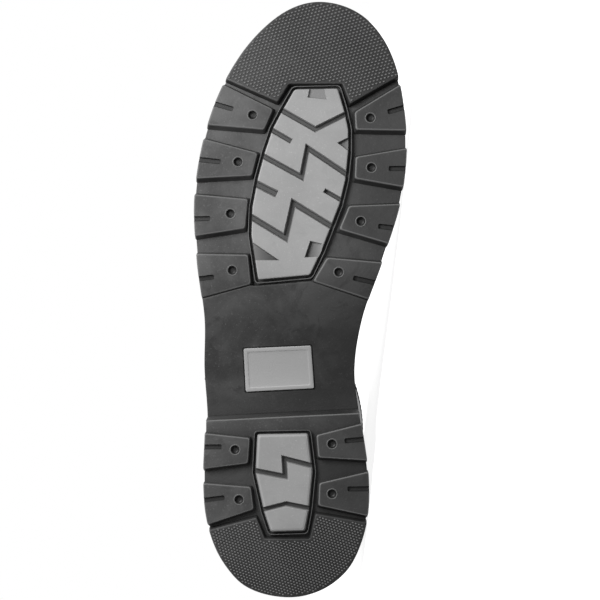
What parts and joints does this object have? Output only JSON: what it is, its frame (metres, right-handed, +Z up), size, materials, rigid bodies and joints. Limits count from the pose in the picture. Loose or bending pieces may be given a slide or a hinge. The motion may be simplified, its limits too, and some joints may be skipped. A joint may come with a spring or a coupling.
{
  "type": "engineer boot",
  "caption": "Black leather engineer boot for the right foot, lying on its inner side, with lugged two-tone rubber sole, welt, hollow shaft and buckled instep and shaft straps.",
  "frame": {"origin": "on the floor under the middle of the part's box, as it lies on its inner side", "axes": "+X toward the toe along the floor, +Y from the tread toward the collar, +Z up through the outer side of the boot"},
  "size_m": [0.3176, 0.2942, 0.1089],
  "materials": {
    "black_rubber": "moulded black rubber, matt, with knurled pads at toe and heel",
    "pale_rubber": "moulded pale grey rubber, satin",
    "black_leather": "oiled black leather, semi-gloss, fine grain",
    "welt_leather": "black welt leather, satin, stitched",
    "insole_board": "natural insole leather, matt",
    "buckle_steel": "nickel-finished steel, polished"
  },
  "bodies": {
    "root": {"outsole": "black_rubber", "heel": "black_rubber", "forefoot_insert": "pale_rubber", "heel_insert": "pale_rubber", "arch_plate": "pale_rubber", "welt": "welt_leather", "insole": "insole_board", "upper": "black_leather", "counter": "black_leather", "backstay": "black_leather", "instep_strap": "black_leather", "instep_tab": "black_leather", "instep_buckle": "buckle_steel", "instep_roller": "buckle_steel", "instep_prong": "buckle_steel", "shaft_strap": "black_leather", "shaft_tab": "black_leather", "shaft_buckle": "buckle_steel", "shaft_roller": "buckle_steel", "shaft_prong": "buckle_steel"}
  },
  "joints": []
}
